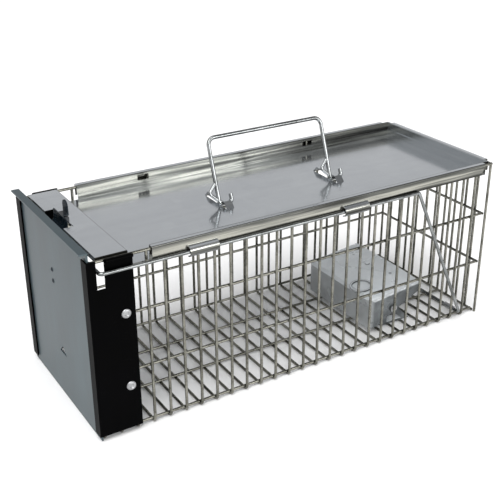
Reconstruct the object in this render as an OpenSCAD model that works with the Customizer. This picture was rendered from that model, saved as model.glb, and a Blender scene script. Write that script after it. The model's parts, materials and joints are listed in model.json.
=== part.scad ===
// Live catch trap: a wire cage with a drop door, a treadle and a sliding trip rod.
// +X runs from the door to the rear, +Z is up, and the floor wires rest on z = 0.

/* [Cage] */
// Overall length, door lip to rear flange
cage_l = 403.2; // [398:0.2:416]
// Overall width over the roof flanges
cage_w = 151.6; // [148:0.2:156]
// Height of the roof rims above the floor
cage_h = 156.2; // [150:0.2:170]
// Diameter of the mesh wires
wire_d = 2.4; // [2:0.1:2.6]
// Spacing of the hoop wires
wire_pitch = 14.4; // [14.2:0.1:14.5]
// Number of hoop wires between the door and the rear panel
wire_count = 27; // [24:1:27]

/* [Sheet metal] */
// Thickness of the roof and treadle sheet
sheet_t = 0.8; // [0.6:0.1:1]
// Thickness of the door, channels and pawl
plate_t = 1.2; // [1:0.1:1.4]
// Depth of the roof tray below its rims
tray_drop = 12.5; // [10:0.5:14]
// Depth of the roof's outer flanges
flange_drop = 10.2; // [9:0.2:12]

/* [Door] */
// Height of the door's top lip above the floor
door_top = 162.5; // [160:0.5:168]
// Length of the door lip in front of the panel
door_lip = 5.4; // [4:0.2:5.4]

/* [Trip gear] */
// Diameter of the trip rod
rod_d = 3; // [2.6:0.1:3.2]
// Height of the trip rod's straight arm
rod_z = 145.5; // [144:0.5:146]
// Diameter of the treadle axle
axle_d = 3; // [2.5:0.1:3.2]
// Width of the treadle hood
treadle_w = 102; // [90:1:110]

/* [Handle] */
// Diameter of the handle wire
handle_d = 3.5; // [3:0.1:3.6]
// Height of the grip bar above its pivot, along the legs
handle_h = 56; // [45:0.1:65]
// Backward lean of the handle at rest
handle_lean = 20; // [0:1:25]

/* [Hidden] */
$fn = 32;
eps = 0.01;

// Running clearance between parts that slide past each other
gap = 0.4;
// How far welded wires sink into each other
weld = 0.2;

// Lengthwise stations
front_x = -cage_l / 2;
rear_x = cage_l / 2;
wire0_x = front_x + 8.8;
rear_wire_x = rear_x - sheet_t - gap - wire_d / 2;
rear_cross_x = rear_wire_x - wire_d + weld;
floor_x1 = rear_cross_x - wire_d / 2 - weld;

// Side planes: hoop wires, then the channel plates and the roof flanges outside them
flange_y = cage_w / 2;
wire_y = flange_y - sheet_t - 0.8 - wire_d / 2;
plate_y = wire_y + wire_d / 2 + 0.2;
riser_y = wire_y - wire_d / 2 - gap;

// Heights
hoop_r = 4;
hoop_z = wire_d / 2;
hoop_top = hoop_z + hoop_r;
row_z = [54.5, 104.4];
rim_z = cage_h;
border_z = rim_z - sheet_t - gap - wire_d / 2;
tray_z = rim_z - tray_drop;
floor_rail_z = hoop_z + wire_d - weld;
rear_count = 10;

// Roof: front platform, step, tray and rims
platform_x0 = wire0_x + 4;
step_x = wire0_x + 28.7;
rim_x0 = wire0_x + 47;
platform_fold = 4;
notch_x1 = wire0_x + 12.3;
notch_y = [-10, 31];
riser_step = 5;
ledge = 1.2;
corner_x = [wire0_x + 378, wire0_x + 383];
corner_y = 66;
strap_x = [wire0_x + 89, wire0_x + 234];
strap_l = 25;
strap_r = 3.9;
window_x = [wire0_x + 109.6, wire0_x + 287.3];
window_l = 11;
bridge_x = [wire0_x + 148.4, wire0_x + 263.5];
bridge_w = 7;
bridge_y = [-17, 21];
bridge_ramp = 5;

// Door and its channels
track_x = wire0_x - 5;
flange_w = 9.6;
channel_x1 = wire0_x + 31.2;
channel_top = rim_z - 0.8;
channel_z0 = 5.4;
slot_x = [wire0_x + 2.4, wire0_x + 9];
slot_z = 132;
bead_d = 3;
door_x0 = track_x + plate_t + gap;
door_x1 = door_x0 + plate_t;
door_w = 2 * (plate_y - 0.6);
door_z0 = 0.6;
rivet_x = wire0_x + 23.5;
rivet_z = [43.8, 107.3];
rivet_head_d = 8;
rivet_d = 3.2;
washer_d = 14;
washer_t = 1.2;
washer_y = wire_y - wire_d - wire_d / 2 + weld - 0.2;
catch_z = 7;
catch_y = 59;
catch_w = 14;

// Trip rod: a finger through the slot, a straight arm, a sloping leg and a crossbar
rod_y = flange_y + gap + rod_d / 2;
finger_x = wire0_x + 4.4;
finger_y = 56;
bend_x = wire0_x + 302.7;
foot_x = wire0_x + 366.5;
foot_z = 8.6;
rod_bend_r = 2.6;
crossbar_y = [-66, 12];
crimp_d = 5;
crimp_y = 64;

// Treadle: axle place and the hood's side outline about it, front low and rear high
axle_x = wire0_x + 300;
axle_z = 23;
treadle_y = -6;
hood_outline = [[-25, -17.4], [-26, 12.2], [-23.2, 15], [31.6, 21.4], [33.4, 19.4], [31.3, 10]];
hood_r = 7;
hood_corner_r = 8;
stand_y = treadle_w / 2 - 7;
stand_t = 1.5;

// Door pawl, hung from a pin under the notch's inner edge
pawl_pin_x = notch_x1 + 0.9;
pawl_pin_z = rim_z - 3;
pawl_pin_d = 1.6;
pawl_y = [1, 30];
tab_w = 10;
tab_h = 12;

// Handle pivot: its wire passes under the two roof bridges
pivot_y = -9;
pivot_z = tray_z + handle_d / 2 + 0.35;
leg_gap = 0.8;
grip_r = 6.5;
leg_x = [for (x = bridge_x) x - bridge_w / 2 - leg_gap - handle_d / 2];

function unit(v) = v / norm(v);

// Rigid frame with its z axis along w and its x axis along u
module on_frame(o, u, w) {
    v = cross(w, u);
    multmatrix([
        [u.x, v.x, w.x, o.x],
        [u.y, v.y, w.y, o.y],
        [u.z, v.z, w.z, o.z],
        [0, 0, 0, 1]
    ]) children();
}

// Straight piece of wire between two points
module rod(a, b, d) {
    w = unit(b - a);
    side = abs(w.z) < 0.9 ? [0, 0, 1] : [1, 0, 0];
    on_frame(a, unit(cross(side, w)), w) cylinder(h = norm(b - a), d = d);
}

// Wire along a list of points, with a true bend of radius r at each inner point.
// A seam leaves a hairline between each bend and the straights beside it.
module bent_wire(p, r, d, seam = 0) {
    n = len(p);
    dir = [for (i = [0:n - 2]) unit(p[i + 1] - p[i])];
    turn = [for (i = [1:n - 2]) acos(dir[i - 1] * dir[i])];
    cut = [for (i = [0:n - 1]) i == 0 || i == n - 1 ? 0 : r * tan(turn[i - 1] / 2)];
    for (i = [0:n - 2])
        if (norm(p[i + 1] - p[i]) > cut[i] + cut[i + 1] + eps)
            rod(p[i] + dir[i] * (cut[i] + seam), p[i + 1] - dir[i] * (cut[i + 1] + seam), d);
    for (i = [1:n - 2]) {
        u = dir[i - 1];
        inward = unit(dir[i] - (dir[i] * u) * u);
        start = p[i] - u * cut[i];
        on_frame(start + inward * r, -inward, cross(-inward, u))
            rotate_extrude(angle = turn[i - 1]) translate([r, 0]) circle(d = d);
    }
}

// A shape drawn in the x-z plane, given a thickness along y from y0
module plate_xz(y0, t) {
    translate([0, y0 + t, 0]) rotate([90, 0, 0]) linear_extrude(t) children();
}

// A shape drawn in the y-z plane, given a thickness along x from x0
module plate_yz(x0, t) {
    translate([x0, 0, 0]) rotate([90, 0, 90]) linear_extrude(t) children();
}

// The children on both sides of the cage
module both_sides() {
    children();
    mirror([0, 1, 0]) children();
}

// Box between two corners
module span(a, b) {
    translate(a) cube(b - a);
}

module wire_x(x0, x1, y, z) {
    rod([x0, y, z], [x1, y, z], wire_d);
}

// ---- wire mesh ----

module floor_mesh() color("#9a9c94") {
    for (k = [0:wire_count - 1])
        bent_wire([
            [wire0_x + k * wire_pitch, -wire_y, hoop_top],
            [wire0_x + k * wire_pitch, -wire_y, hoop_z],
            [wire0_x + k * wire_pitch, wire_y, hoop_z],
            [wire0_x + k * wire_pitch, wire_y, hoop_top]
        ], hoop_r, wire_d);
    for (y = [-25, 25]) wire_x(wire0_x - 1, floor_x1, y, floor_rail_z);
    both_sides() wire_x(wire0_x - 1, floor_x1, 2.5 - wire_y, hoop_top - wire_d / 2);
}

// Upright wires, two longways wires, the top border and the rear corner post
module side_mesh() color("#9a9c94") {
    for (k = [0:wire_count - 1])
        rod([wire0_x + k * wire_pitch, -wire_y, hoop_top],
            [wire0_x + k * wire_pitch, -wire_y, border_z], wire_d);
    rod([rear_wire_x, -wire_y, 0], [rear_wire_x, -wire_y, border_z], wire_d);
    for (z = row_z) wire_x(wire0_x - 1, floor_x1, wire_d - weld - wire_y, z);
    wire_x(wire0_x - 1, rear_wire_x + 1, -wire_y, border_z);
}

// Upright wires between the corner posts, with crosswise wires welded on their inner side
module rear_mesh() color("#9a9c94") {
    end_y = wire_y - wire_d / 2;
    pitch = 2 * wire_y / (rear_count + 1);
    for (k = [1:rear_count])
        rod([rear_wire_x, k * pitch - wire_y, 0],
            [rear_wire_x, k * pitch - wire_y, border_z - wire_d / 4], wire_d);
    for (z = [hoop_z + 1, row_z[0], row_z[1]])
        rod([rear_cross_x, -end_y, z], [rear_cross_x, end_y, z], wire_d);
    rod([rear_wire_x, -end_y, border_z], [rear_wire_x, end_y, border_z], wire_d);
}

// ---- roof ----

// Band of the folded rim around the near, rear and back edges, between two insets
module rim_band(outer, inner, z0, z1) {
    difference() {
        span([rim_x0, outer - flange_y, z0], [rear_x - outer, flange_y - outer, z1]);
        span([rim_x0 - 1, inner - flange_y, z0 - 1], [rear_x - inner, flange_y - inner, z1 + 1]);
    }
}

// Two-stage riser from the tray, top, and outer flange that hooks over the mesh
module rims() {
    riser = flange_y - riser_y;
    mid_z = tray_z + riser_step;
    rim_band(0, sheet_t, rim_z - flange_drop, rim_z);
    rim_band(0, riser + sheet_t, rim_z - sheet_t, rim_z);
    rim_band(riser, riser + sheet_t, mid_z - sheet_t, rim_z);
    rim_band(riser, riser + sheet_t + ledge, mid_z - sheet_t, mid_z);
    rim_band(riser + ledge, riser + ledge + sheet_t, tray_z - sheet_t, mid_z);
}

// Cut-out of the rims outside the risers at a rear corner, sloped along the side flange
module rim_corner() {
    riser = flange_y - riser_y;
    low_z = rim_z - flange_drop - 1;
    plate_xz(-flange_y - 1, riser + 1) polygon([
        [corner_x[0], low_z],
        [corner_x[1], rim_z + 1],
        [rear_x + 1, rim_z + 1],
        [rear_x + 1, low_z]
    ]);
    span([rear_x - riser, -flange_y - 1, low_z], [rear_x + 1, -corner_y, rim_z + 1]);
}

// Curled tongue on the flange that a trip rod slides through
module rod_strap(x) {
    translate([x - strap_l / 2, -flange_y, rod_z]) rotate([90, 0, 90]) difference() {
        cylinder(h = strap_l, r = strap_r + sheet_t);
        translate([0, 0, -1]) cylinder(h = strap_l + 2, r = strap_r);
        translate([0, -2 * strap_r, -1]) cube([2 * strap_r, 4 * strap_r, strap_l + 2]);
    }
}

// Strip lanced up from the tray for the handle wire to pass under
module handle_bridge(x) {
    top = pivot_z + handle_d / 2 + 0.35 + sheet_t;
    plate_yz(x - bridge_w / 2, bridge_w) polygon([
        [bridge_y[0] - 1, tray_z - sheet_t],
        [bridge_y[0] - 1, tray_z],
        [bridge_y[0], tray_z],
        [bridge_y[0] + bridge_ramp, top],
        [bridge_y[1] - bridge_ramp, top],
        [bridge_y[1], tray_z],
        [bridge_y[1] + 1, tray_z],
        [bridge_y[1] + 1, tray_z - sheet_t],
        [bridge_y[1] - 0.4, tray_z - sheet_t],
        [bridge_y[1] - bridge_ramp - 0.3, top - sheet_t],
        [bridge_y[0] + bridge_ramp + 0.3, top - sheet_t],
        [bridge_y[0] + 0.4, tray_z - sheet_t]
    ]);
}

// Lugs under the platform that hold the pawl pin
module pin_lug(y) {
    plate_xz(y, 1) difference() {
        translate([pawl_pin_x - 2, pawl_pin_z - 2]) square([4, rim_z - sheet_t - pawl_pin_z + 2]);
        translate([pawl_pin_x, pawl_pin_z]) circle(d = pawl_pin_d);
    }
}

module roof_panel() color("#a4a7a8") {
    tray_y = riser_y - ledge - sheet_t / 2;
    fold_y = riser_y - 0.2;
    difference() {
        union() {
            span([step_x, -tray_y, tray_z - sheet_t],
                 [rear_x - flange_y + tray_y, tray_y, tray_z]);
            span([step_x, -fold_y, tray_z - sheet_t], [step_x + sheet_t, fold_y, rim_z]);
            span([platform_x0, -fold_y, rim_z - sheet_t], [step_x + sheet_t, fold_y, rim_z]);
            both_sides()
                span([platform_x0, -fold_y, rim_z - platform_fold],
                     [step_x + sheet_t, sheet_t - fold_y, rim_z]);
            span([platform_x0, -fold_y, rim_z - platform_fold],
                 [platform_x0 + sheet_t, fold_y, rim_z]);
            rims();
            both_sides() for (x = strap_x) rod_strap(x);
            for (x = bridge_x) handle_bridge(x);
        }
        for (x = bridge_x)
            span([x - bridge_w / 2 - 0.3, bridge_y[0] + 1, tray_z - 1],
                 [x + bridge_w / 2 + 0.3, bridge_y[1] - 1, tray_z + eps]);
        span([platform_x0 - 1, notch_y[0], rim_z - 10], [notch_x1, notch_y[1], rim_z + 1]);
        both_sides() rim_corner();
        both_sides() for (x = window_x)
            span([x - window_l / 2, -riser_y - 0.5, rim_z - 7], [x + window_l / 2, 1 - riser_y, rim_z - 2]);
    }
    for (y = [pawl_y[0] - 1.5, pawl_y[1] + 0.5]) pin_lug(y);
}

// ---- door end ----

// Side plate with a front flange; the door slides between the flange and the first hoop
module door_channel() color("#17181a") {
    difference() {
        union() {
            span([track_x, -plate_y - plate_t, channel_z0], [channel_x1, -plate_y, channel_top]);
            span([track_x, -plate_y - plate_t, channel_z0],
                 [track_x + plate_t, flange_w - plate_y - plate_t, channel_top]);
            translate([slot_x[1] + 1, -plate_y - bead_d / 2 - 0.1, channel_top - bead_d / 2])
                rotate([0, 90, 0]) cylinder(h = channel_x1 - slot_x[1] - 1, d = bead_d);
        }
        span([slot_x[0], -plate_y - 5, slot_z], [slot_x[1], 1 - plate_y, rim_z]);
        for (z = rivet_z) translate([rivet_x, 1 - plate_y, z]) rotate([90, 0, 0])
            cylinder(h = 6, d = rivet_d);
    }
}

// Domed rivets through a channel plate, closed inside the mesh over their washers
module channel_rivets() color("#b8bbbd") {
    shank = plate_y + plate_t - washer_y + washer_t;
    for (z = rivet_z) translate([rivet_x, -plate_y - plate_t, z]) rotate([90, 0, 0]) {
        intersection() {
            cylinder(h = 1.8, d = rivet_head_d);
            translate([0, 0, -7]) sphere(r = 8.6);
        }
        translate([0, 0, -shank]) cylinder(h = shank, d = rivet_d);
        translate([0, 0, -shank - 1.2]) cylinder(h = 1.2, d = rivet_d + 2);
    }
}

module rivet_washers() color("#b0b3b5") {
    both_sides() for (z = rivet_z)
        translate([rivet_x, washer_t - washer_y, z]) rotate([90, 0, 0]) difference() {
            cylinder(h = washer_t, d = washer_d);
            translate([0, 0, -1]) cylinder(h = 4, d = rivet_d);
        }
}

// Flat panel with an outward top lip, two small holes and a pressed triangular window
module door_panel() color("#7d8587") {
    difference() {
        union() {
            span([door_x0, -door_w / 2, door_z0], [door_x1, door_w / 2, door_top]);
            span([door_x0 - door_lip, -door_w / 2, door_top - plate_t],
                 [door_x1, door_w / 2, door_top]);
        }
        for (z = [107, 117]) translate([door_x0 - 1, 5, z]) rotate([0, 90, 0])
            cylinder(h = 4, d = 2.5);
        plate_yz(door_x0 - 1, 4) polygon([[-9, 43], [5, 43], [-2, 50]]);
    }
}

// Angle lug on the door's back that stands on the trip rod's finger when it is set
module door_catch() color("#7d8587") {
    span([door_x1, -catch_y - catch_w / 2, catch_z],
         [finger_x + 0.8, catch_w / 2 - catch_y, catch_z + plate_t]);
    span([door_x1, -catch_y - catch_w / 2, catch_z],
         [door_x1 + plate_t, catch_w / 2 - catch_y, catch_z + 10]);
}

// Bent plate: finger tab above the roof, ledge, and a sloping blade down to the door
module door_pawl() color("#1d2327") {
    x0 = notch_x1 - 1.8;
    ledge_z = rim_z + 0.6;
    tab_x = notch_x1 + 3.2;
    tip_x = door_x1 + gap;
    mid_y = (pawl_y[0] + pawl_y[1]) / 2;
    blade_w = pawl_y[1] - pawl_y[0] - 1;
    plate_xz(mid_y - blade_w / 2, blade_w) polygon([
        [x0, ledge_z + plate_t],
        [x0, 150],
        [tip_x, 134],
        [tip_x + 1.6, 134],
        [x0 + plate_t, 149.4],
        [x0 + plate_t, ledge_z + plate_t]
    ]);
    plate_xz(mid_y - tab_w / 2, tab_w)
        translate([x0, ledge_z]) square([tab_x - x0 + plate_t, plate_t]);
    plate_yz(tab_x, plate_t) intersection() {
        translate([mid_y - tab_w / 2, ledge_z]) square([tab_w, tab_h]);
        translate([mid_y - tab_w / 2, ledge_z - tab_w]) {
            square([tab_w, tab_w + tab_h - tab_w / 2]);
            translate([tab_w / 2, tab_w + tab_h - tab_w / 2]) circle(d = tab_w);
        }
    }
    for (y = [pawl_y[0] + 0.5, pawl_y[1] - 1.5])
        plate_xz(y, 1) difference() {
            union() {
                translate([x0, pawl_pin_z - 1.8]) square([pawl_pin_x - x0, 3.6]);
                translate([pawl_pin_x, pawl_pin_z]) circle(r = 1.8);
            }
            translate([pawl_pin_x, pawl_pin_z]) circle(d = pawl_pin_d + 0.16);
        }
}

module pawl_pin() color("#b0b3b5") {
    translate([pawl_pin_x, pawl_y[1] + 3.5, pawl_pin_z]) rotate([90, 0, 0])
        cylinder(h = pawl_y[1] - pawl_y[0] + 7, d = pawl_pin_d);
}

// Closed sleeve in the shape of the coil that turns the pawl toward the door
module pawl_spring() color("#b0b3b5") {
    translate([pawl_pin_x, 20, pawl_pin_z]) rotate([90, 0, 0]) difference() {
        cylinder(h = 8, d = pawl_pin_d + 0.8);
        translate([0, 0, -1]) cylinder(h = 10, d = pawl_pin_d + 0.1);
    }
}

// ---- trip gear ----

// Finger, arm, sloping leg and inward foot, as one bent wire on the near side of the cage
module trip_rod() color("#b4b8ba") {
    bent_wire([
        [finger_x, -finger_y, rod_z],
        [finger_x, -rod_y, rod_z],
        [bend_x, -rod_y, rod_z],
        [foot_x, -rod_y, foot_z],
        [foot_x, crossbar_y[0], foot_z]
    ], rod_bend_r, rod_d, eps);
}

module trip_crossbar() color("#b4b8ba") {
    rod([foot_x, crossbar_y[0], foot_z], [foot_x, crossbar_y[1], foot_z], rod_d);
}

// Crimped sleeve that joins the trip rod to the crossbar
module rod_crimp() color("#a7aaac") {
    translate([foot_x, 6 - crimp_y, foot_z]) rotate([90, 0, 0]) difference() {
        cylinder(h = 12, d = crimp_d);
        translate([0, 0, -1]) cylinder(h = 14, d = rod_d);
    }
}

// Bent strip from the crossbar to just behind the treadle's rear edge
module trip_tongue() color("#a4a7a8") {
    back_x = foot_x + rod_d / 2;
    toe_x = axle_x + 36.2;
    base_z = foot_z + rod_d / 2;
    plate_xz(-10, 20) polygon([
        [back_x, base_z],
        [back_x, base_z + sheet_t],
        [toe_x + sheet_t, base_z + sheet_t],
        [toe_x + sheet_t + 1, axle_z + 16],
        [toe_x + 1, axle_z + 16],
        [toe_x, base_z]
    ]);
}

// Hood outline made solid: top edges and front corners rounded, and the top's near rear part
// tipped toward the near side along a diagonal crease
module hood_solid(outline, slope, top, inset) {
    half = treadle_w / 2 - inset;
    r = hood_r - inset;
    corner = hood_corner_r - inset;
    front = hood_outline[1].x + inset;
    intersection() {
        plate_xz(-half, 2 * half) polygon(outline);
        rotate([0, -slope, 0]) plate_yz(-60, 120) {
            translate([-half, -60]) square([2 * half, 60 + top - r]);
            translate([r - half, top - 2 * r]) square([2 * (half - r), 2 * r]);
            for (side = [-1, 1]) translate([side * (half - r), top - r]) circle(r = r);
        }
        translate([0, 0, -60]) linear_extrude(120) {
            translate([front + corner, -half]) square([80, 2 * half]);
            translate([front, corner - half]) square([2 * corner, 2 * (half - corner)]);
            for (side = [-1, 1]) translate([front + corner, side * (half - corner)]) circle(r = corner);
        }
        on_frame([hood_outline[1].x, -treadle_w / 2, hood_outline[2].y - 0.5], unit([1, 0, 0.058]),
                 unit(cross([1, 0, 0.058], [0, 1, 0.096])))
            translate([-150, -150, -200]) cube([300, 300, 200 - inset]);
    }
}

// Pressed hood with an open bottom; a ring, a crease, a tab and a dimple on its sloping top
module treadle_hood() color("#9ea2a4") {
    o = hood_outline;
    along = unit(o[3] - o[2]);
    inward = [along.y, -along.x] * sheet_t;
    slope = atan2(along.y, along.x);
    top = o[2].y * along.x - o[2].x * along.y;
    inner = [
        o[0] + [sheet_t + 0.3, -8],
        o[1] + [sheet_t, -0.3],
        o[2] + inward + along * 0.3,
        o[3] + inward - along * 0.3,
        o[4] + [-sheet_t, -0.3],
        o[5] + [-sheet_t - 1.8, -8]
    ];
    translate([axle_x, treadle_y, axle_z]) difference() {
        union() {
            hood_solid(o, slope, top + 0.02, 0);
            rotate([0, -slope, 0]) translate([0, 0, top]) {
                translate([-15.1, -24, -0.5]) difference() {
                    cylinder(h = 1.6, r = 11);
                    translate([0, 0, -1]) cylinder(h = 4, r = 9);
                }
                rod([-6, 21, -1.1], [19, -18, -1.1], 3);
                translate([16, 6, -0.5]) cylinder(h = 1.3, r = 2.6);
                translate([19, -23, -0.5]) rotate([0, 0, -35]) cube([3, 7, 1.6]);
            }
        }
        hood_solid(inner, slope, top + 0.02 - sheet_t, sheet_t);
        translate([0, treadle_w, 0]) rotate([90, 0, 0])
            cylinder(h = 2 * treadle_w, d = axle_d + 0.16);
    }
}

module treadle_axle() color("#b4b8ba") {
    translate([axle_x, treadle_y + treadle_w / 2 + 3, axle_z]) rotate([90, 0, 0])
        cylinder(h = treadle_w + 6, d = axle_d);
}

// Push-on caps at the axle's ends
module axle_caps() color("#b0b3b5") {
    translate([axle_x, treadle_y, axle_z]) both_sides()
        translate([0, -treadle_w / 2 - gap, 0]) rotate([90, 0, 0]) difference() {
            cylinder(h = 1.8, d = 7);
            translate([0, 0, -1]) cylinder(h = 4, d = axle_d);
        }
}

// Bent bracket inside the hood that carries the axle above the floor wires
module treadle_stand() color("#9aa0a6") {
    top_z = hoop_z + wire_d / 2;
    base_z = floor_rail_z + wire_d / 2;
    plate_xz(-stand_y - stand_t / 2, stand_t) difference() {
        polygon([
            [axle_x - 8, top_z],
            [axle_x - 4, axle_z + 3],
            [axle_x + 4, axle_z + 3],
            [axle_x + 26, top_z]
        ]);
        polygon([
            [axle_x - 1, base_z],
            [axle_x, axle_z - 6],
            [axle_x + 2, axle_z - 6],
            [axle_x + 17, base_z]
        ]);
        translate([axle_x, axle_z]) circle(d = axle_d);
    }
    span([axle_x - 8, -stand_y - stand_t / 2, top_z],
         [axle_x + 26, 9 - stand_y, top_z + stand_t]);
}

// ---- handle ----

// Wire bail: grip bar, two legs, feet under the bridges and a kinked tail at each foot
module carry_handle() color("#bcc0c2") {
    hook_x = [for (x = bridge_x) x + bridge_w / 2 + leg_gap + handle_d / 2];
    translate([0, pivot_y, pivot_z]) rotate([-handle_lean, 0, 0]) {
        bent_wire([
            [leg_x[0], 0, 10],
            [leg_x[0], 0, handle_h],
            [leg_x[1], 0, handle_h],
            [leg_x[1], 0, 10]
        ], grip_r, handle_d);
        for (k = [0, 1])
            bent_wire([
                [leg_x[k], 0, 10],
                [leg_x[k], 0, 0],
                [hook_x[k], 0, 0],
                [hook_x[k], 0, 7]
            ], handle_d * 0.75, handle_d);
        for (x = leg_x)
            bent_wire([[x - 0.5, 0, 3], [x - 8, 0, 10.5], [x - 0.5, 0, 18]], 2.4, handle_d * 0.8);
    }
}

floor_mesh();
side_mesh();  // side_mesh_near
mirror([0, 1, 0]) side_mesh();  // side_mesh_back
rear_mesh();
roof_panel();
door_channel();  // door_channel_near
mirror([0, 1, 0]) door_channel();  // door_channel_back
channel_rivets();  // channel_rivets_near
mirror([0, 1, 0]) channel_rivets();  // channel_rivets_back
rivet_washers();
door_panel();
door_catch();
door_pawl();
pawl_pin();
pawl_spring();
trip_rod();
trip_crossbar();
trip_tongue();
rod_crimp();
treadle_hood();
treadle_axle();
axle_caps();
translate([0, treadle_y, 0]) treadle_stand();  // treadle_stand_near
translate([0, treadle_y, 0]) mirror([0, 1, 0]) treadle_stand();  // treadle_stand_back
carry_handle();
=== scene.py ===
import json
import math
import random

import bmesh
import bpy
from mathutils import Matrix, Vector

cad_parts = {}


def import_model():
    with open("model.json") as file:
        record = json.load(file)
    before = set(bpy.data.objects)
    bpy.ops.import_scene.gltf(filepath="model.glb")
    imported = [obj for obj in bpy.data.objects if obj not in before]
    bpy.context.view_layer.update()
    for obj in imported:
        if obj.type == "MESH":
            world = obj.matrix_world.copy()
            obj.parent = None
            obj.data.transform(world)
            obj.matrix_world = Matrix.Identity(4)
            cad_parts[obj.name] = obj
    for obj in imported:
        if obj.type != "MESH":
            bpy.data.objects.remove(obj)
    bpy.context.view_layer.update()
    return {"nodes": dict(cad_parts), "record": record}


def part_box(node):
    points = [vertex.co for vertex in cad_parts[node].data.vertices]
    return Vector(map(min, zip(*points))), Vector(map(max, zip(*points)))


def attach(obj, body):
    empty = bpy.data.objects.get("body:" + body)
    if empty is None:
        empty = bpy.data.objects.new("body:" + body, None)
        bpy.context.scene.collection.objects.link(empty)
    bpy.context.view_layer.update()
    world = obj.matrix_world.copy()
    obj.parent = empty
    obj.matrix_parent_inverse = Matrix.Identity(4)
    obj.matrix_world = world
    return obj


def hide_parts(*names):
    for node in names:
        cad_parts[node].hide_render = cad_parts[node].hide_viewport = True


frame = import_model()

MM = 0.001
rng = random.Random(7)

BODY_OF = {n: b for b, names in frame["record"]["behaviour"]["bodies"].items() for n in names}
SLOT_OF = {s["node"]: s["material_slot"] for s in frame["record"]["subparts"]}


# ---------------------------------------------------------------- materials

def srgb(r, g, b):
    """Linear colour from display values 0 to 255."""
    shown = (v / 255 for v in (r, g, b))
    return (*(v / 12.92 if v <= 0.04045 else ((v + 0.055) / 1.055) ** 2.4 for v in shown), 1)


class Mat:
    """A Principled material and short ways to add procedural nodes to it."""

    def __init__(self, name, **values):
        self.mat = bpy.data.materials.new(name)
        self.mat.use_nodes = True
        self.nodes = self.mat.node_tree.nodes
        self.links = self.mat.node_tree.links
        self.bsdf = self.nodes["Principled BSDF"]
        for key, value in values.items():
            self.bsdf.inputs[key.replace("_", " ")].default_value = value
        place = self.node("ShaderNodeTexCoord")
        self.coord = place.outputs["Object"]
        self.normal = place.outputs["Normal"]

    def node(self, kind, **values):
        """A new node; each value goes to the setting or else the input of that name."""
        n = self.nodes.new(kind)
        for key, value in values.items():
            if hasattr(n, key):
                setattr(n, key, value)
            else:
                n.inputs[key.replace("_", " ")].default_value = value
        return n

    def link(self, a, b):
        self.links.new(a, b)

    def stretched(self, x, y, z):
        """Coordinates scaled along each axis, so that a noise on them runs in streaks."""
        n = self.node("ShaderNodeMapping")
        n.inputs["Scale"].default_value = (x, y, z)
        self.link(self.coord, n.inputs["Vector"])
        return n.outputs["Vector"]

    def noise(self, scale, detail, rough=0.55, vector=None):
        n = self.node("ShaderNodeTexNoise", Scale=scale, Detail=detail, Roughness=rough)
        self.link(vector or self.coord, n.inputs["Vector"])
        return n.outputs["Fac"]

    def cells(self, scale):
        n = self.node("ShaderNodeTexVoronoi", Scale=scale)
        self.link(self.coord, n.inputs["Vector"])
        return n.outputs["Color"]

    def component(self, vector, axis):
        n = self.node("ShaderNodeSeparateXYZ")
        self.link(vector, n.inputs["Vector"])
        return n.outputs[axis]

    def facing(self, axis):
        """1 on faces that look along an axis of the piece's own frame, 0 on the others."""
        size = self.math("ABSOLUTE", self.component(self.normal, axis), 0.0)
        return self.spread(size, 0.35, 0.8, 0.0, 1.0)

    def near(self, value, at, half):
        """1 where a value is within about half a width of another, with a soft edge."""
        off = self.math("ABSOLUTE", self.math("SUBTRACT", value, at), 0.0)
        return self.spread(off, 0.6 * half, 1.2 * half, 1.0, 0.0)

    def line(self, axis, at, half):
        """1 along a line at one place on an axis, 0 away from it."""
        return self.near(self.component(self.coord, axis), at, half)

    def ring(self, x, y, radius, half):
        """1 along a circle seen from above, 0 away from it."""
        flat = self.node("ShaderNodeMapping")
        flat.inputs["Scale"].default_value = (1, 1, 0)
        flat.inputs["Location"].default_value = (-x, -y, 0)
        self.link(self.coord, flat.inputs["Vector"])
        far = self.node("ShaderNodeVectorMath", operation="LENGTH")
        self.link(flat.outputs["Vector"], far.inputs[0])
        return self.near(far.outputs["Value"], radius, half)

    def spread(self, value, low, high, to_low, to_high):
        """A value moved from one range to another and held inside it."""
        n = self.node("ShaderNodeMapRange")
        ends = {"From Min": low, "From Max": high, "To Min": to_low, "To Max": to_high}
        for key, v in ends.items():
            n.inputs[key].default_value = v
        self.link(value, n.inputs["Value"])
        return n.outputs["Result"]

    def math(self, kind, a, b):
        n = self.node("ShaderNodeMath", operation=kind)
        for i, v in enumerate((a, b)):
            if isinstance(v, (int, float)):
                n.inputs[i].default_value = v
            else:
                self.link(v, n.inputs[i])
        return n.outputs["Value"]

    def ramp(self, value, *stops):
        n = self.node("ShaderNodeValToRGB")
        el = n.color_ramp.elements
        while len(el) < len(stops):
            el.new(0.5)
        for e, (pos, colour) in zip(el, stops):
            e.position = pos
            e.color = colour
        self.link(value, n.inputs["Fac"])
        return n.outputs["Color"]

    def mix(self, fac, a, b):
        n = self.node("ShaderNodeMix", data_type="RGBA")
        for socket, v in zip((n.inputs[0], n.inputs[6], n.inputs[7]), (fac, a, b)):
            if isinstance(v, bpy.types.NodeSocket):
                self.link(v, socket)
            else:
                socket.default_value = v
        return n.outputs[2]

    def bump(self, height, strength, distance, normal=None):
        n = self.node("ShaderNodeBump", Strength=strength, Distance=distance)
        self.link(height, n.inputs["Height"])
        if normal:
            self.link(normal, n.inputs["Normal"])
        return n.outputs["Normal"]

    def set(self, **sockets):
        """Links values to the shader's inputs and gives back the finished material."""
        for key, value in sockets.items():
            self.link(value, self.bsdf.inputs[key.replace("_", " ")])
        return self.mat


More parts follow.
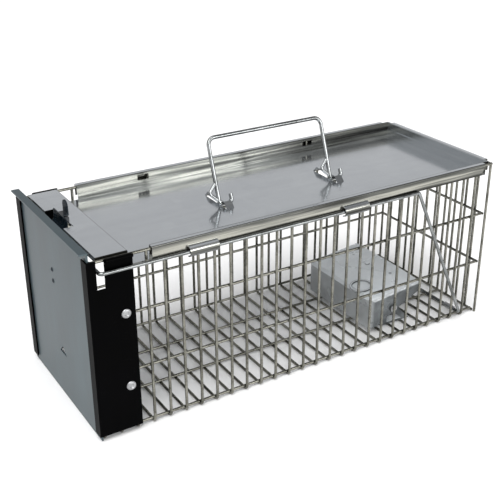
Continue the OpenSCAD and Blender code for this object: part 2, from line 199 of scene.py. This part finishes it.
def sheet_metal(name, light, dark, metallic, rough, wave, upright_shading, streak_stretch, ends,
                folds=(), pressed=()):
    """Zinc coated sheet: faint spangle cells, rolling streaks, cloudy dulling and small marks.
    Upright faces take three tones of painted shade and painted reflection, in streaks stretched
    along the axes by the given scales; those that face along X are moved toward light by ends,
    a painted highlight. Folds are painted shade lines, each (axis, place, half width); pressed
    are painted shade circles, each (x, y, radius, half width)."""
    m = Mat(name, Metallic=metallic)
    cells = m.cells(85.0)
    streaks = m.noise(60, 4, 0.6, m.stretched(0.12, 1.6, 1.0))
    clouds = m.noise(16, 4, 0.6)
    marks = m.noise(190, 2, 0.5, m.stretched(0.7, 1.3, 1.0))
    tone = m.math("ADD", m.math("MULTIPLY", cells, 0.14), m.math("MULTIPLY", streaks, 0.36))
    tone = m.math("ADD", tone, m.math("MULTIPLY", clouds, 0.5))
    base = m.ramp(tone, (0.3, dark), (0.7, light))
    specks = m.spread(marks, 0.72, 0.80, 0.0, 0.3)
    base = m.mix(specks, base, tuple(0.6 * c for c in dark[:3]) + (1,))
    # Upright faces take three tones in streaks, dark to light: painted shade and painted
    # reflection streaks.
    low, mid, high = upright_shading
    drawn = m.noise(30, 4, 0.6, m.stretched(*streak_stretch))
    side = m.ramp(drawn, (0.36, low), (0.50, mid), (0.64, high))
    # Faces along X are moved toward the light tone: a painted highlight.
    side = m.mix(m.facing("X"), side, m.mix(ends, side, light))
    base = m.mix(m.facing("Z"), side, base)
    # Dark lines along the rims' folds and the platform's step: painted shade.
    for fold in folds:
        base = m.mix(m.math("MULTIPLY", m.line(*fold), 0.8), base, low)
    # Dark circles at the pressed ring's edges, on level faces only: painted shade.
    for circle in pressed:
        edge = m.math("MULTIPLY", m.ring(*circle), m.facing("Z"))
        base = m.mix(m.math("MULTIPLY", edge, 0.75), base, low)
    roughness = m.spread(clouds, 0.3, 0.7, rough - 0.03, rough + 0.05)
    normal = m.bump(m.noise(9, 1, 0.4), wave, 0.0008)
    normal = m.bump(streaks, 0.06, 0.0002, normal)
    return m.set(Base_Color=base, Roughness=roughness, Normal=normal)


def wire_metal(name, light, dark, rough, scale=1.0):
    """Drawn and plated wire: fine grain, dull patches and darker stains."""
    m = Mat(name, Metallic=1.0)
    patches = m.noise(70 * scale, 3, 0.6)
    fine = m.noise(900 * scale, 2, 0.6)
    tone = m.math("ADD", m.math("MULTIPLY", patches, 0.65), m.math("MULTIPLY", fine, 0.35))
    base = m.ramp(tone, (0.30, dark), (0.62, light))
    roughness = m.spread(patches, 0.3, 0.7, rough - 0.05, rough + 0.1)
    return m.set(Base_Color=base, Roughness=roughness, Normal=m.bump(fine, 0.25, 0.00008))


def coated(name, colour, worn, rough, shine):
    """Painted or blued sheet: soft clouds, orange peel and rubbed streaks, with painted shade on
    level faces.
    """
    m = Mat(name, Metallic=0.0, Specular_IOR_Level=shine)
    clouds = m.noise(22, 5, 0.62, m.stretched(1.0, 1.0, 0.45))
    peel = m.noise(650, 2, 0.5)
    rubs = m.noise(45, 3, 0.6, m.stretched(0.7, 0.7, 0.16))
    tone = m.math("ADD", m.math("MULTIPLY", clouds, 0.65), m.math("MULTIPLY", rubs, 0.35))
    base = m.ramp(tone, (0.35, colour), (0.675, worn))
    roughness = m.spread(tone, 0.3, 0.7, rough - 0.06, rough + 0.09)
    # Level faces are moved toward the darker colour: painted shade.
    base = m.mix(m.math("MULTIPLY", m.facing("Z"), 0.8), base, colour)
    return m.set(Base_Color=base, Roughness=roughness, Normal=m.bump(peel, 0.12, 0.0001))


# Where the roof's two rims fold, its platform steps down and the treadle's ring is pressed;
# painted shade lines and circles are drawn at these places.
RIM_OUT = -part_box("roof_panel")[0][1] - 5.2 * MM
RIM_IN = RIM_OUT - 4.2 * MM
STEP_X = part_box("door_channel_near")[0][0] + 34.2 * MM
RING_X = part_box("treadle_hood")[0][0] + 11.0 * MM
RING_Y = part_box("treadle_hood")[0][1] + 27.0 * MM
FOLD_SHADE_HALF_WIDTH = 0.5 * MM
RING_EDGE_SHADE = ((RING_X, RING_Y, 9.0 * MM, 0.45 * MM), (RING_X, RING_Y, 10.7 * MM, 0.3 * MM))

# The three tones for the roof's and treadle's standing faces are painted shade and painted
# reflection streaks.
ROOF = sheet_metal(
    "roof_sheet", light=srgb(184, 188, 191), dark=srgb(172, 176, 180),
    metallic=0.9, rough=0.15, wave=0.2,
    upright_shading=(srgb(52, 52, 48), srgb(108, 109, 105), srgb(186, 185, 175)),
    streak_stretch=(0.2, 0.2, 8.0), ends=0.85,
    folds=[("X", STEP_X, FOLD_SHADE_HALF_WIDTH)]
          + [("Y", y, FOLD_SHADE_HALF_WIDTH) for y in (RIM_IN, -RIM_IN, RIM_OUT, -RIM_OUT)])
TREADLE = sheet_metal(
    "treadle_sheet", light=srgb(246, 250, 252), dark=srgb(216, 222, 226),
    metallic=0.3, rough=0.24, wave=0.6,
    upright_shading=(srgb(62, 66, 67), srgb(84, 88, 90), srgb(112, 117, 119)),
    streak_stretch=(1.0, 1.0, 1.0), ends=0.4, pressed=RING_EDGE_SHADE)
MESH_WIRE = wire_metal("mesh_wire", srgb(142, 141, 132), srgb(56, 55, 48), 0.24)
ROD_WIRE = wire_metal("rod_wire", srgb(168, 171, 172), srgb(86, 88, 86), 0.15)
# A darker copy of the rod wire for the trip rod: painted shade.
SHADED_ROD_WIRE = wire_metal("rod_wire_shaded", srgb(146, 149, 149), srgb(66, 68, 66), 0.17)
BLACK = coated("black_enamel", srgb(1, 1, 1), srgb(3, 3, 4), rough=0.38, shine=0.02)
DOOR = coated("door_coat", srgb(46, 58, 63), srgb(82, 94, 98), rough=0.34, shine=0.2)
BLUED = coated("blued_steel", srgb(8, 16, 22), srgb(30, 44, 54), rough=0.28, shine=0.25)
RIVET = wire_metal("rivet_metal", srgb(180, 181, 182), srgb(132, 134, 136), 0.36, 2.0)

NODE_LOOK = {node: look for look, nodes in (
    (MESH_WIRE, ("floor_mesh", "side_mesh_near", "side_mesh_back", "rear_mesh")),
    (ROOF, ("roof_panel",)),
    (BLACK, ("door_channel_near", "door_channel_back")),
    (RIVET, ("channel_rivets_near", "channel_rivets_back", "rivet_washers", "rod_crimp",
             "axle_caps")),
    (DOOR, ("door_panel", "door_catch")),
    (BLUED, ("door_pawl",)),
    (ROD_WIRE, ("pawl_pin", "pawl_spring", "treadle_axle", "carry_handle")),
    (SHADED_ROD_WIRE, ("trip_rod", "trip_crossbar")),
    (TREADLE, ("trip_tongue", "treadle_hood", "treadle_stand_near", "treadle_stand_back")),
) for node in nodes}
for name, node in frame["nodes"].items():
    node.data.materials.clear()
    node.data.materials.append(NODE_LOOK[name])


# ---------------------------------------------------------------- pieces

def add(obj, body, slot, look, *nodes):
    """Puts a finished piece in the scene on its body, for the CAD nodes that it stands for."""
    bpy.context.scene.collection.objects.link(obj)
    obj.data.materials.clear()
    obj.data.materials.append(look)
    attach(obj, body)
    if nodes:
        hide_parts(*nodes)


def smooth_mesh(bm, name):
    """A smooth-shaded mesh from a bmesh, which is freed."""
    mesh = bpy.data.meshes.new(name)
    bm.to_mesh(mesh)
    bm.free()
    for p in mesh.polygons:
        p.use_smooth = True
    return mesh


LONG_FOLD = 30 * MM
SQUARE_FOLD = math.radians(80)
MERGED = math.radians(0.6)
ROUNDED = math.radians(32)


def folded(node, width, bend=0.0):
    """A CAD node's shape with its flat facets merged and its edges rounded like folded sheet.
    With a bend, the long folds along its top are drawn to that larger radius."""
    bm = bmesh.new()
    bm.from_mesh(frame["nodes"][node].data)
    bmesh.ops.remove_doubles(bm, verts=bm.verts, dist=2e-6)
    bmesh.ops.dissolve_limit(bm, angle_limit=MERGED, verts=bm.verts, edges=bm.edges)
    if bend:
        top = max(v.co.z for v in bm.verts)
        folds = [e for e in bm.edges
                 if e.calc_length() > LONG_FOLD and e.calc_face_angle_signed(0) > SQUARE_FOLD
                 and all(abs(v.co.z - top) < 0.01 * MM for v in e.verts)]
        bmesh.ops.bevel(bm, geom=folds, offset=bend, offset_type="OFFSET", segments=5, profile=0.5,
                        affect="EDGES", clamp_overlap=True)
    name = node + "_formed"
    obj = bpy.data.objects.new(name, smooth_mesh(bm, name))
    mod = obj.modifiers.new("edge", "BEVEL")
    mod.width = width
    mod.segments = 3
    mod.limit_method = "ANGLE"
    mod.angle_limit = ROUNDED
    mod.use_clamp_overlap = True
    even = obj.modifiers.new("even", "WEIGHTED_NORMAL")
    even.mode = "FACE_AREA"
    even.weight = 100
    even.keep_sharp = True
    add(obj, BODY_OF[node], SLOT_OF[node], NODE_LOOK[node], node)


folded("roof_panel", 0.2 * MM, bend=0.7 * MM)
for node, width in (("door_channel_near", 0.35), ("door_channel_back", 0.35),
                    ("door_panel", 0.35), ("door_catch", 0.3), ("door_pawl", 0.3),
                    ("trip_tongue", 0.25), ("treadle_hood", 0.5),
                    ("treadle_stand_near", 0.25), ("treadle_stand_back", 0.25)):
    folded(node, width * MM)


def join_rings(bm, low, high):
    """Adds the band of faces between two rings of vertices."""
    for k in range(len(low)):
        bm.faces.new((low[k], low[k - 1], high[k - 1], high[k]))


def lathe(bm, place, axis, profile, ring=False):
    """Adds a profile of (radius, height) pairs in mm turned about an axis, closed at both ends.
    A ring joins its last pair to its first instead."""
    steps = 32
    turn = Vector(axis).to_track_quat("Z", "Y").to_matrix()
    rings = []
    for radius, height in profile:
        rings.append([])
        for k in range(steps):
            a = 2 * math.pi * k / steps
            at = Vector((radius * math.cos(a), radius * math.sin(a), height)) * MM
            rings[-1].append(bm.verts.new(Vector(place) + turn @ at))
    for low, high in zip(rings, rings[1:] + ([rings[0]] if ring else [])):
        join_rings(bm, low, high)
    if not ring:
        bm.faces.new(rings[0])
        bm.faces.new(rings[-1][::-1])


def sweep(bm, points, radius):
    """Adds a fine round wire along a list of points."""
    steps = 6
    rings = []
    for i, p in enumerate(points):
        way = (points[min(i + 1, len(points) - 1)] - points[max(i - 1, 0)]).normalized()
        side = way.cross(Vector((0, 1, 0)))
        side = side.normalized() if side.length > 0.05 else way.orthogonal().normalized()
        up = side.cross(way)
        rings.append([bm.verts.new(p + radius * (math.cos(a) * side + math.sin(a) * up))
                      for a in (2 * math.pi * k / steps for k in range(steps))])
    for low, high in zip(rings, rings[1:]):
        join_rings(bm, low, high)
    bm.faces.new(rings[0])
    bm.faces.new(rings[-1][::-1])


def finished(bm, name, node, *replaced, look=None):
    """Turns a bmesh into a smooth piece on the body of a node, with that node's look."""
    bmesh.ops.recalc_face_normals(bm, faces=bm.faces)
    mesh = smooth_mesh(bm, name)
    mesh.set_sharp_from_angle(angle=math.radians(35))
    obj = bpy.data.objects.new(name, mesh)
    add(obj, BODY_OF[node], SLOT_OF[node], look or NODE_LOOK[node], *replaced)


def rivets(node):
    """Domed rivet heads with a struck dimple, and the closed ends behind their washers."""
    low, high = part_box(node)
    outward = -1 if low[1] + high[1] < 0 else 1
    x = (low[0] + high[0]) / 2
    inner_y = high[1] if outward < 0 else low[1]
    r = 1000 * (high[0] - low[0]) / 2
    head = 1.8
    face = 1000 * (high[1] - low[1]) - head
    profile = (
        (2.2, 0.0), (2.6, 0.3), (2.6, 1.1), (1.6, 1.2), (1.6, face), (r, face),
        (r - 0.1, face + 0.45), (r - 0.6, face + 0.95), (r - 1.2, face + 1.25),
        (2.3, face + 1.4), (1.9, face + 1.3), (1.4, face + 0.7), (0.3, face + 0.6))
    bm = bmesh.new()
    for z in (low[2] + r * MM, high[2] - r * MM):
        lathe(bm, (x, inner_y, z), (0, outward, 0), profile)
    finished(bm, node + "_formed", node, node)


def hole_burrs_shaded():
    """The punched burrs that stand out round the door's two small holes, in the dark blued look as
    painted shade for the holes.
    """
    low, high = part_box("door_panel")
    sheet = 1.2 * MM
    hole_y = 5 * MM
    profile = ((1.25, -0.9), (2.0, -0.9), (2.0, 0.15), (1.8, 0.4), (1.4, 0.4), (1.25, 0.15))
    bm = bmesh.new()
    for up in (106.4, 116.4):
        lathe(bm, (high[0] - sheet, hole_y, low[2] + up * MM), (-1, 0, 0), profile, ring=True)
    finished(bm, "door_hole_burrs", "door_panel", look=BLUED)


def pawl_coil():
    """The closely wound spring around the pawl's pin."""
    low, high = (Vector(p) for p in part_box("pawl_spring"))
    mid = (low + high) / 2
    wire = 0.17 * MM
    reach = (high.x - low.x) / 2 - wire
    turns, steps = 15, 20
    span = high.y - low.y - 2 * wire
    points = []
    for k in range(turns * steps + 1):
        a = 2 * math.pi * k / steps
        y = low.y + wire + span * k / (turns * steps)
        points.append(Vector((mid.x + reach * math.cos(a), y, mid.z + reach * math.sin(a))))
    bm = bmesh.new()
    sweep(bm, points, wire)
    finished(bm, "pawl_coil", "pawl_spring", "pawl_spring")


def weld_nuggets():
    """Squeezed-out weld metal where the side panels' lengthways wires cross the uprights."""
    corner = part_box("side_mesh_near")[0]
    uprights, pitch = 27, 14.4 * MM
    first = corner[0] + 1.0 * MM
    wire_heights = (54.5, 104.4)
    y = abs(corner[1]) - 2.3 * MM
    bm = bmesh.new()
    for k in range(uprights):
        for z in wire_heights:
            for side in (-1, 1):
                at = Vector((first + k * pitch, side * y, z * MM))
                jog = [rng.uniform(-0.15, 0.15) * MM for _ in range(2)]
                size = rng.uniform(1.35, 1.6) * MM
                shape = (Matrix.Translation(at + Vector((jog[0], 0, jog[1])))
                         @ Matrix.Diagonal((size, 0.8 * size, size, 1)))
                bmesh.ops.create_icosphere(bm, subdivisions=2, radius=1.0, matrix=shape)
    finished(bm, "weld_nuggets", "side_mesh_near")


rivets("channel_rivets_near")
rivets("channel_rivets_back")
hole_burrs_shaded()
pawl_coil()
weld_nuggets()


# ---------------------------------------------------------------- stage, light, camera

def stage():
    """A plain pale floor."""
    mesh = bpy.data.meshes.new("studio_floor")
    bm = bmesh.new()
    bmesh.ops.create_grid(bm, x_segments=1, y_segments=1, size=6.0)
    bm.to_mesh(mesh)
    bm.free()
    floor = bpy.data.objects.new("studio_floor", mesh)
    bpy.context.scene.collection.objects.link(floor)
    m = Mat("studio_white", Roughness=0.85, Specular_IOR_Level=0.2)
    tone = m.ramp(m.noise(3, 2), (0.3, (0.93, 0.93, 0.93, 1)), (0.7, (0.95, 0.95, 0.95, 1)))
    mesh.materials.append(m.set(Base_Color=tone))


def area_light(name, place, target, size, watts):
    data = bpy.data.lights.new(name, "AREA")
    data.shape = "RECTANGLE"
    data.size, data.size_y = size
    data.energy = watts
    obj = bpy.data.objects.new(name, data)
    obj.location = place
    obj.rotation_euler = (Vector(target) - Vector(place)).to_track_quat("-Z", "Y").to_euler()
    bpy.context.scene.collection.objects.link(obj)


def sun(name, toward, strength, spread):
    """A very soft distant light, so the floor is evenly lit to its far end."""
    data = bpy.data.lights.new(name, "SUN")
    data.energy = strength
    data.angle = math.radians(spread)
    obj = bpy.data.objects.new(name, data)
    obj.rotation_euler = Vector(toward).to_track_quat("Z", "Y").to_euler()
    bpy.context.scene.collection.objects.link(obj)


SKY = ((0.20, 0.98), (0.32, 0.78), (0.44, 0.74), (0.56, 0.72), (0.66, 0.18), (0.80, 0.22))


def world():
    """A studio sky: white low down, grey above that, then a dark band and a bright top."""
    w = bpy.data.worlds.new("studio")
    bpy.context.scene.world = w
    w.use_nodes = True
    nodes, links = w.node_tree.nodes, w.node_tree.links
    coord = nodes.new("ShaderNodeTexCoord")
    split = nodes.new("ShaderNodeSeparateXYZ")
    ramp = nodes.new("ShaderNodeValToRGB")
    links.new(coord.outputs["Generated"], split.inputs["Vector"])
    links.new(split.outputs["Z"], ramp.inputs["Fac"])
    stops = ramp.color_ramp.elements
    stops[0].position, stops[0].color = 0.0, (0.98, 0.98, 0.98, 1)
    stops[1].position, stops[1].color = 1.0, (1.15, 1.15, 1.16, 1)
    for place, v in SKY:
        stops.new(place).color = (v, v, v * 1.01, 1)
    links.new(ramp.outputs["Color"], nodes["Background"].inputs["Color"])
    nodes["Background"].inputs["Strength"].default_value = 0.95


CAMERA_PLACE = (-0.3995, -0.6256, 0.4366)
CAMERA_FORWARD = (0.4737, 0.7709, -0.4261)
CAMERA_ROLL = math.radians(-0.18)


def camera():
    data = bpy.data.cameras.new("camera")
    data.lens = 65.3
    data.sensor_width = 36
    data.clip_start = 0.01
    cam = bpy.data.objects.new("camera", data)
    cam.location = CAMERA_PLACE
    cam.rotation_mode = "QUATERNION"
    roll = Matrix.Rotation(CAMERA_ROLL, 4, "Z").to_quaternion()
    cam.rotation_quaternion = Vector(CAMERA_FORWARD).to_track_quat("-Z", "Y") @ roll
    bpy.context.scene.collection.objects.link(cam)
    bpy.context.scene.camera = cam


stage()
world()
area_light("key", place=(-0.9, -1.1, 1.6), target=(0, 0, 0.05), size=(1.2, 0.9), watts=12)
area_light("low_fill", place=(0.55, -1.5, 0.55), target=(0.1, 0, 0.04), size=(0.9, 0.5), watts=9)
sun("overhead", toward=(-0.3, -0.25, 1.0), strength=1.9, spread=50)
camera()
view = bpy.context.scene.view_settings
view.view_transform = "Standard"
view.look = "None"
